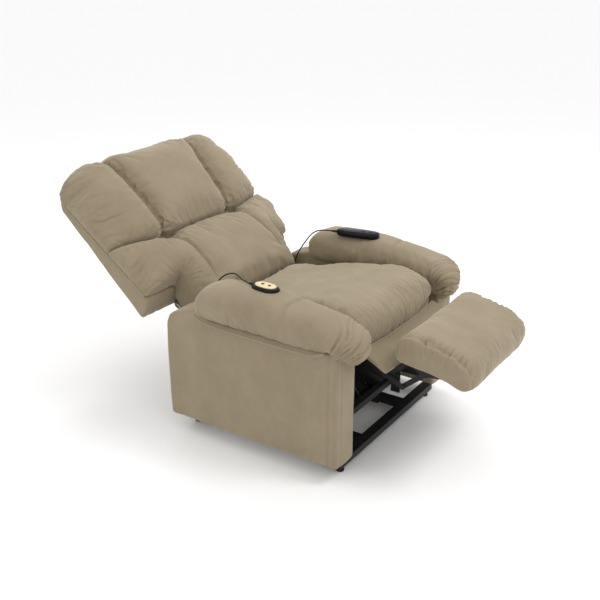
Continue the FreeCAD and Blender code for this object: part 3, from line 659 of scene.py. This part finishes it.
def build_lumbar_pillow():
    inside = stations(BACK_NARROW - 0.001, 27)
    outside = [BACK_NARROW + 0.004 + (BACK_HALF - BACK_NARROW - 0.004) * math.sin(math.pi / 2 * i / 11)
               for i in range(12)]
    places = [-x for x in reversed(outside)] + inside + outside
    piece = loft("lumbar_pillow_cover", [lumbar_ring(x) for x in places], "suede")
    puff(piece, lumbar_pins, cap=0.014)
    points = read_points(piece)
    x, u, v = back_coordinates(points)
    write_points(piece, side_swell(points, u, v, 0.008))
    out = read_normals(piece) @ np.array(BACK_OUT)
    facing = np.clip(1.4 * out + 0.5, 0, 1)
    seam = np.abs(np.abs(x) - upright_seam(u))
    near_top = np.clip((u - 0.12) / 0.26, 0, 1)
    tuft = np.hypot(seam, u - cross_seam(x))
    side = BACK_HALF + 0.006 - np.abs(x)
    depth = groove(seam, 0.007, 0.005) * np.clip((u - 0.08) / 0.1, 0, 1)
    depth += groove(seam, 0.010, 0.032) * near_top ** 2
    depth += groove(tuft, 0.012, 0.035)
    depth += gathers(side, u - 0.3 * side, 0.036, 0.055, 0.0055, points) * (u > 0.19)
    depth += gathers(np.abs(u - cross_seam(x)), x, 0.052, 0.036, 0.0034, points)
    depth += gathers(tuft, np.arctan2(cross_seam(x) - u, seam + 1e-6) * 0.05, 0.020, 0.06, 0.004, points)
    corner = np.hypot(np.abs(x) - 0.30, u - 0.200)
    turn = np.arctan2(u - 0.200, np.abs(x) - 0.30)
    depth += gathers(np.abs(corner - 0.03), turn * 0.07, 0.024, 0.06, 0.0042, points) * (np.abs(x) > 0.25)
    depth += soft_lumps(points, 0.0030)
    sink(piece, depth * facing)
    relax(piece, 1, 0.3)
    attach(piece, "backrest")
    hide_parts("lumbar_pillow")
    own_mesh(piece)


def build_back_cover():
    """The hard back: a wedge of upholstered panels behind the pillows."""
    outline = [(0.166, -0.059), (0.420, -0.061), (0.668, -0.060), (0.680, -0.050), (0.672, -0.034),
               (0.440, -0.006), (0.210, 0.024), (0.190, 0.016), (0.168, -0.030)]
    dense = hold_corners(outline, (0, 0.15, 0.5, 0.85))
    rings = []
    for x in (-0.434, -0.431, -0.42, -0.2, 0, 0.2, 0.42, 0.431, 0.434):
        inset = 0.006 if abs(x) > 0.433 else 0.0
        centre = np.array((0.42, -0.025))
        ring = [np.array(p) + (centre - np.array(p)) / np.linalg.norm(centre - np.array(p)) * inset
                for p in dense]
        rings.append([on_back(x, u, v) for u, v in ring])
    piece = loft("back_outer_cover", rings, "suede")
    remesh(piece, 0.007)
    relax(piece, 3)
    subdivide(piece)
    points = read_points(piece)
    x, u, v = back_coordinates(points)
    rear = np.clip(-(read_normals(piece) @ np.array(BACK_OUT)), 0, 1)
    seam = np.abs(np.abs(x) - 0.405)
    depth = soft_lumps(points, 0.0016) + groove(seam, 0.0035, 0.003) * rear
    depth += gathers(np.abs(u - 0.17), x, 0.045, 0.07, 0.0016, points)
    depth -= 0.003 * rear * np.cos(np.clip(x / 0.43, -1, 1) * math.pi / 2)
    sink(piece, depth)
    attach(piece, "backrest")
    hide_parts("back_rear_panel", "back_wing_left", "back_wing_right")
    for side in (-1, 1):
        line = [on_back(side * 0.4365, u, welt_line(u) + 0.0015 * math.sin(u * 260))
                for u in np.linspace(0.214, 0.668, 60)]
        welt("back_side_welt_" + ("left" if side > 0 else "right"), line, 0.0045, "backrest")


# ---------------------------------------------------------------- the seat

def seat_ring(x):
    outline = []
    base = 0.412
    set_back = 0.050 * abs(x / SEAT_HALF) ** 3.5
    for y, z, power in ((-0.012, 0.438, 20), (-0.026, 0.460, 16), (-0.026, 0.490, 14), (-0.004, 0.522, 13),
                        (0.045, 0.545, 13), (0.110, 0.552, 13), (0.200, 0.546, 11), (0.330, 0.531, 8),
                        (0.450, 0.507, 5), (0.540, 0.492, 3.5), (0.592, 0.476, 3.2)):
        fall = edge_fall(x, SEAT_HALF + 0.001, power)
        forward = max(0.0, 1 - y / 0.25)
        outline.append((y + set_back * min(1.0, forward), base + (z - base) * max(fall, 0.12)))
    outline += [(0.602, 0.430), (0.580, base), (0.300, base - 0.004), (0.040 + set_back, base)]
    return [chair(x, y, z) for y, z in smooth_outline(outline, 90)]


def seat_pins(points):
    z = points[:, 2]
    return np.where(z < 0.432, 1.0, 0.0)


def build_seat_cushion():
    piece = loft("seat_cushion_cover", [seat_ring(x) for x in stations(SEAT_HALF, 33)], "suede")
    puff(piece, seat_pins, cap=0.012)
    points = read_points(piece)
    x, y, z = points[:, 0], points[:, 1] - FRONT_Y, points[:, 2]
    normals = read_normals(piece)
    front = np.clip(-normals[:, 1] * 1.6 + 0.15, 0, 1)
    top = np.clip(normals[:, 2] * 1.5, 0, 1)
    depth = gathers(np.abs(z - 0.436), x, 0.019, 0.070, 0.0042, points) * front
    depth += gathers(np.abs(z - 0.545), x + 0.01, 0.023, 0.035, 0.0026, points) * front
    depth += gathers(SEAT_HALF - np.abs(x), y, 0.045, 0.06, 0.0036, points) * top
    depth += 0.005 * top * np.exp(-((y - 0.36) / 0.20) ** 2) * np.exp(-(x / 0.2) ** 2)
    depth += soft_lumps(points, 0.0028)
    sink(piece, depth)
    relax(piece, 1, 0.3)
    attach(piece, "chair")
    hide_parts("seat_cushion")
    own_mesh(piece)
    line = [chair(x, -0.012 + 0.052 * abs(x / SEAT_HALF) ** 3.5, 0.434) for x in
            np.linspace(-SEAT_HALF + 0.012, SEAT_HALF - 0.012, 40)]
    welt("seat_front_welt", line, 0.0045, "chair")


def build_apron():
    """The flap under the front of the seat, which covers the mechanism."""
    rings = []
    for x in stations(0.268, 21):
        fall = 0.35 + 0.65 * edge_fall(x, 0.270, 8.0)
        outline = []
        for share in (0.0, 0.33, 0.66, 1.0):
            y, z = 0.004 - 0.094 * share, 0.436 - 0.046 * share
            outline.append((y, z - 0.012 * fall - 0.004))
        for share in (1.0, 0.66, 0.33, 0.0):
            y, z = 0.004 - 0.094 * share, 0.436 - 0.046 * share
            outline.append((y, z + 0.001 + 0.006 * fall * math.sin(math.pi * share)))
        rings.append([chair(x, y, z) for y, z in smooth_outline(outline, 40)])
    piece = loft("front_apron_cover", rings, "suede")
    remesh(piece, 0.005)
    relax(piece, 2)
    subdivide(piece)
    points = read_points(piece)
    sink(piece, soft_lumps(points, 0.0022))
    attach(piece, "chair")
    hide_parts("front_apron")
    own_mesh(piece)


# ---------------------------------------------------------------- the arms

def lines_between(table, count):
    """Smoothly spaced rows of a table of numbers, its first column the one that is spread."""
    table = np.array(table, float)
    spread = table[0, 0] + (table[-1, 0] - table[0, 0]) * 0.5 * (1 - np.cos(np.linspace(0, math.pi, count)))
    return [[value] + [float(np.interp(value, table[:, 0], table[:, k])) for k in range(1, table.shape[1])]
            for value in spread]


PAD_SHAPE = [
    # y, top, bottom, half width
    (-0.062, 0.503, 0.482, 0.034), (-0.059, 0.518, 0.466, 0.052), (-0.050, 0.536, 0.450, 0.068),
    (-0.034, 0.548, 0.441, 0.078), (-0.014, 0.557, 0.438, 0.084), (0.006, 0.563, 0.445, 0.086),
    (0.020, 0.567, 0.466, 0.087), (0.090, 0.579, 0.472, 0.087), (0.200, 0.595, 0.474, 0.087),
    (0.270, 0.605, 0.475, 0.087), (0.420, 0.609, 0.476, 0.087), (0.500, 0.603, 0.478, 0.085),
    (0.545, 0.586, 0.482, 0.078), (0.570, 0.562, 0.490, 0.062), (0.582, 0.535, 0.505, 0.034),
]


def pad_ring(row, middle):
    """The inner shoulder is square; the outer one is round and, at the front, the inner side hangs lower."""
    y, top, bottom, half = row
    centre, high = (top + bottom) / 2, (top - bottom) / 2
    droop = 0.016 * math.exp(-((y + 0.01) / 0.04) ** 2)
    ring = []
    for k in range(64):
        angle = 2 * math.pi * k / 64
        c, s = math.cos(angle), math.sin(angle)
        inner = c < 0
        power = (3.4 if inner else 2.15) if s > 0 else 4.0
        across = math.copysign(abs(c) ** (2 / power), c)
        rise = math.copysign(abs(s) ** (2 / power), s)
        hang = droop * (0.5 - 0.5 * across) * (0.5 - 0.5 * rise)
        outer = max(across, 0.0)
        lift = 0.068 * outer * (0.5 - 0.5 * rise) * math.exp(-((y + 0.055) / 0.078) ** 2)
        back = 0.034 * outer ** 2 * min(1.0, max(0.0, (0.03 - y) / 0.06))
        ring.append(chair(middle + half * across, y + back, centre + high * rise - hang + lift))
    return ring


def pad_pins(points):
    y, z = points[:, 1] - FRONT_Y, points[:, 2]
    return np.where((z < 0.487) & (y > 0.03), 1.0, 0.0)


def build_arm_pad():
    """The left pad; the right one is its mirror image."""
    middle = (PAD_INNER + PAD_OUTER) / 2
    rings = [pad_ring(row, middle) for row in lines_between(PAD_SHAPE, 48)]
    piece = loft("arm_pad_left_cover", rings, "suede")
    puff(piece, pad_pins, voxel=0.006, cap=0.006)
    points = read_points(piece)
    x, y, z = points[:, 0] - middle, points[:, 1] - FRONT_Y, points[:, 2]
    normals = read_normals(piece)
    angle = np.arctan2(z - 0.445, 0.035 - y)
    reach = np.hypot(z - 0.445, 0.035 - y)
    fan = np.clip((0.05 - y) / 0.05, 0, 1)
    depth = gathers(np.abs(reach - 0.075), angle * 0.09 + 0.35 * x, 0.024, 0.050, 0.0105, points) * fan
    top = np.clip(normals[:, 2] * 1.3, 0, 1)
    for offset in (0.0, 0.009):
        depth += groove(np.abs(y - 0.196 - offset - 0.10 * x), 0.0045, 0.0030) * top
    depth += gathers(np.abs(z - 0.480), y, 0.05, 0.035, 0.0034, points)
    depth += soft_lumps(points, 0.0024)
    sink(piece, depth)
    relax(piece, 1, 0.3)
    for side in (1, -1):
        pad = piece
        if side < 0:
            pad = bpy.data.objects.new("arm_pad_right_cover", piece.data.copy())
            scene.collection.objects.link(pad)
            mirrored = read_points(pad) * np.array((-1, 1, 1))
            write_points(pad, mirrored)
            pad.data.flip_normals()
        name = "arm_pad_left" if side > 0 else "arm_pad_right"
        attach(pad, "chair")
        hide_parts(name)
        outer = [chair(side * 0.4455, y, z) for y, z in (
            (0.555, 0.497), (0.530, 0.482), (0.480, 0.474), (0.380, 0.471), (0.260, 0.470), (0.140, 0.469),
            (0.085, 0.472), (0.055, 0.478), (0.035, 0.488))]
        welt(name + "_welt", outer, 0.004, "chair")


def arm_outline():
    """Side view of an arm box, from its front bottom corner, rounded at the top of the rear."""
    bottom = ARM_LOW.z - 0.003
    return [(-0.001, bottom), (0.350, bottom), (0.706, bottom), (0.7065, 0.250), (0.705, 0.432),
            (0.694, 0.460), (0.673, 0.474), (0.620, 0.490), (0.566, 0.506), (0.545, 0.500), (0.520, 0.480),
            (0.260, 0.478), (0.000, 0.478), (-0.001, 0.270)]


def build_arm_box(side):
    name = "arm_box_left" if side > 0 else "arm_box_right"
    dense = hold_corners(arm_outline(), (0, 0.04, 0.5, 0.96))
    rings = []
    for x, inset in ((ARM_LOW.x, 0.003), (ARM_LOW.x + 0.006, 0), (0.36, 0), (0.414, 0), (0.420, 0.004)):
        ring = []
        for y, z in dense:
            away = np.array((0.35 - y, 0.27 - z))
            away = away / np.linalg.norm(away) * inset
            ring.append(chair(side * x, y + away[0], z + away[1]))
        rings.append(ring)
    piece = loft(name + "_cover", rings, "suede")
    remesh(piece, 0.007)
    relax(piece, 3)
    subdivide(piece)
    points = read_points(piece)
    x, y, z = np.abs(points[:, 0]), points[:, 1] - FRONT_Y, points[:, 2]
    normals = read_normals(piece)
    outward = np.clip(normals[:, 0] * side, 0, 1)
    front = np.clip(-normals[:, 1] * 1.3, 0, 1)
    ripple = np.sin(2 * math.pi * (y + 0.012 * noise(points, 0.12)) / 0.055)
    depth = 0.0012 * ripple * outward * np.exp(-((y - 0.06) / 0.10) ** 2)
    depth += 0.0010 * np.sin(2 * math.pi * (y + 0.03 * noise(points, 0.2)) / 0.12) * outward
    depth -= 0.004 * outward * np.sin(np.clip((z - 0.066) / 0.41, 0, 1) * math.pi)
    depth += groove(np.abs(y - 0.030), 0.0035, 0.003) * outward
    depth += groove(np.abs(x - 0.395), 0.003, 0.003) * front
    depth -= 0.003 * front * np.cos(np.clip((x - 0.362) / 0.058, -1, 1) * math.pi / 2)
    depth += gathers(np.abs(z - 0.470), y, 0.06, 0.05, 0.0012, points) * outward
    depth += soft_lumps(points, 0.0012)
    sink(piece, depth)
    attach(piece, "chair")
    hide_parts(name)
    seam = [chair(side * 0.4195, 0.0035, z) for z in np.linspace(0.072, 0.462, 24)]
    welt(name + "_front_welt", seam, 0.0028, "chair")


# ---------------------------------------------------------------- the footrest

REST_HALF = 0.246
REST_PROFILE = [
    # y, bottom, top over the middle
    (-0.108, 0.450, 0.470), (-0.112, 0.432, 0.488), (-0.124, 0.424, 0.504), (-0.150, 0.419, 0.513),
    (-0.190, 0.412, 0.513), (-0.240, 0.403, 0.504), (-0.290, 0.394, 0.492), (-0.330, 0.386, 0.480),
    (-0.356, 0.378, 0.468), (-0.375, 0.378, 0.455), (-0.387, 0.386, 0.441), (-0.393, 0.400, 0.424),
]


def rest_ring(x, inset):
    crown = 1.00 + 0.03 * edge_fall(x, REST_HALF + 0.002, 3.5)
    lower, upper = [], []
    for y, low, high in REST_PROFILE:
        y = -0.25 + (y + 0.25) * (1 - inset * 2.2)
        y += 0.030 * abs(x / REST_HALF) ** 7 * max(0.0, -(y + 0.25) / 0.15)
        thick = (high - low) * crown * (1 - inset * 4)
        middle = low + (high - low) * crown / 2
        lower.append((y, middle - thick / 2))
        upper.append((y, middle + thick / 2))
    return [chair(x, y, z) for y, z in smooth_outline(lower + upper[::-1], 80)]


def rest_pins(points):
    y, z = points[:, 1] - FRONT_Y, points[:, 2]
    below = z < 0.452 + 0.17 * (y + 0.108) - 0.016
    return np.where(below & (y > -0.37), 1.0, 0.0)


def build_footrest_pad():
    rings = [rest_ring(-REST_HALF, 0.05), rest_ring(-REST_HALF + 0.003, 0.015)]
    rings += [rest_ring(x, 0.0) for x in stations(REST_HALF - 0.010, 31)]
    rings += [rest_ring(REST_HALF - 0.003, 0.015), rest_ring(REST_HALF, 0.05)]
    piece = loft("footrest_pad_cover", rings, "suede")
    puff(piece, rest_pins, voxel=0.006, cap=0.007)
    points = read_points(piece)
    x, y = points[:, 0], points[:, 1] - FRONT_Y
    normals = read_normals(piece)
    top = np.clip(normals[:, 2] * 1.4 + 0.35, 0, 1)
    edge = np.abs(REST_HALF - 0.004 - np.abs(x))
    depth = gathers(np.abs(edge - 0.020), y, 0.018, 0.016, 0.0075, points) * top
    depth += groove(np.abs(edge - 0.010), 0.004, 0.005) * top
    depth += gathers(np.abs(y + 0.385), x, 0.034, 0.030, 0.0012, points) * top
    depth += 0.004 * np.exp(-((y + 0.25) / 0.05) ** 2) * np.exp(-((np.abs(x) - 0.07) / 0.05) ** 2) * top
    depth += soft_lumps(points, 0.0026)
    sink(piece, depth)
    relax(piece, 1, 0.3)
    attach(piece, "footrest")
    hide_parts("footrest_pad")


def dome_faces(centre, outward, radius, tall):
    """A rivet head: rings of a low dome on a flat seat, along X."""
    rings = []
    for level, scale in ((-0.2, 1.0), (0.25, 1.0), (0.65, 0.85), (0.9, 0.55), (1.0, 0.2)):
        rings.append([centre + Vector((outward * tall * level,
                                       radius * scale * math.cos(2 * math.pi * k / 20),
                                       radius * scale * math.sin(2 * math.pi * k / 20)))
                      for k in range(20)])
    return rings


def build_rivets():
    """Zinc heads on the footrest's pivots, on the faces towards the middle of the chair."""
    groups = {
        "footrest_links": ((0.198, 0.0655, 0.3740), (0.192, -0.0590, 0.3390), (0.192, -0.1200, 0.3120)),
        "footrest_idlers": ((0.198, 0.0898, 0.3533), (0.192, -0.0347, 0.3183)),
        "footrest": ((0.192, -0.1400, 0.4080), (0.192, -0.2010, 0.3810)),
    }
    for body, places in groups.items():
        for number, (x, y, z) in enumerate(places):
            for side in (-1, 1):
                hand = "left" if side > 0 else "right"
                rings = dome_faces(chair(side * x, y, z), -side, 0.0062, 0.0026)
                piece = loft("%s_rivet_%d_%s" % (body, number, hand), rings, "zinc_steel")
                shade_smooth(piece)
                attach(piece, body)


def build_back_latches():
    """The bent wire that locks the back on its bracket, one each side."""
    for side in (-1, 1):
        route = [on_back(side * x, u, v) for x, u, v in (
            (0.270, 0.060, -0.030), (0.276, 0.085, -0.026), (0.285, 0.112, -0.020), (0.289, 0.135, -0.012),
            (0.288, 0.152, -0.018), (0.283, 0.158, -0.032), (0.277, 0.148, -0.040), (0.270, 0.130, -0.040))]
        hand = "left" if side > 0 else "right"
        welt("back_latch_" + hand, route, 0.0025, "backrest", "zinc_steel", 8)


# ---------------------------------------------------------------- handsets

def handset_shell(name, node, slot, long, wide, high, at, turn, waist, power):
    """A moulded shell: rounded in plan and in section, flat underneath."""
    rings = []
    levels = ((0.0, 0.90), (0.06, 0.955), (0.25, 1.0), (0.55, 1.0), (0.80, 0.965), (0.93, 0.90), (1.0, 0.80))
    for level, scale in levels:
        ring = []
        for k in range(64):
            angle = 2 * math.pi * k / 64
            c, s = math.cos(angle), math.sin(angle)
            across = wide / 2 * math.copysign(abs(c) ** (2 / power), c)
            along = long / 2 * math.copysign(abs(s) ** (2 / power), s)
            across *= 1 - waist * (along / long + 0.5)
            shrink = wide / 2 * (1 - scale)
            across -= math.copysign(min(shrink, abs(across)), across)
            along -= math.copysign(min(shrink, abs(along)), along)
            ring.append((across, along, high * level))
        rings.append(ring)
    cosine, sine = math.cos(turn), math.sin(turn)
    placed = [[Vector((a * cosine - b * sine, a * sine + b * cosine, c)) + at for a, b, c in ring]
              for ring in rings]
    piece = loft(name, placed, slot)
    bevel = piece.modifiers.new("Bevel", "BEVEL")
    bevel.width = 0.0006
    bevel.segments = 2
    apply_modifiers(piece)
    shade_smooth(piece)
    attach(piece, "chair")
    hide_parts(node)


def key_cap(name, node, body):
    """A domed key cap over the CAD key."""
    low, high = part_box(node)
    centre = (low + high) / 2
    radius = (high.x - low.x) / 2
    tall = high.z - low.z
    rings = []
    for level, scale in ((0.0, 0.97), (0.6, 1.0), (0.8, 0.97), (0.92, 0.86), (0.97, 0.6), (0.95, 0.25)):
        rings.append([Vector((centre.x + radius * scale * math.cos(2 * math.pi * k / 32),
                              centre.y + radius * scale * math.sin(2 * math.pi * k / 32),
                              low.z + tall * level)) for k in range(32)])
    piece = loft(name, rings, "key_grey")
    shade_smooth(piece)
    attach(piece, body)
    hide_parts(node)


def build_handsets():
    lift_low, lift_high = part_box("lift_handset")
    lift_at = (lift_low + lift_high) / 2
    lift_at.z = lift_low.z
    handset_shell("lift_handset_shell", "lift_handset", "handset_black", 0.170, 0.055, 0.0245, lift_at,
                  math.radians(12.5), 0.16, 3.2)
    low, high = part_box("massage_handset")
    at = (low + high) / 2
    at.z = low.z
    handset_shell("massage_handset_shell", "massage_handset", "handset_black", 0.105, 0.060, 0.0170, at,
                  math.radians(-4), 0.0, 2.5)
    plate_at = at + Vector((0, 0, 0.0165))
    handset_shell("massage_face", "massage_faceplate", "faceplate_cream", 0.082, 0.044, 0.0042, plate_at,
                  math.radians(-4), 0.0, 2.5)
    for node, body in (("lift_key_up", "up_key"), ("lift_key_down", "down_key"),
                       ("massage_key_power", "power_key"), ("massage_key_mode", "mode_key")):
        key_cap(node + "_cap", node, body)


# ---------------------------------------------------------------- everything

build_camera()
build_cord("lift_cord", LIFT_CORD)
build_cord("massage_cord", MASSAGE_CORD)
build_studio()
dress_cad_nodes()
build_arm_box(1)
build_arm_box(-1)
build_arm_pad()
build_seat_cushion()
build_apron()
build_head_pillow()
build_lumbar_pillow()
build_back_cover()
build_footrest_pad()
build_rivets()
build_back_latches()
build_handsets()

bpy.context.view_layer.update()
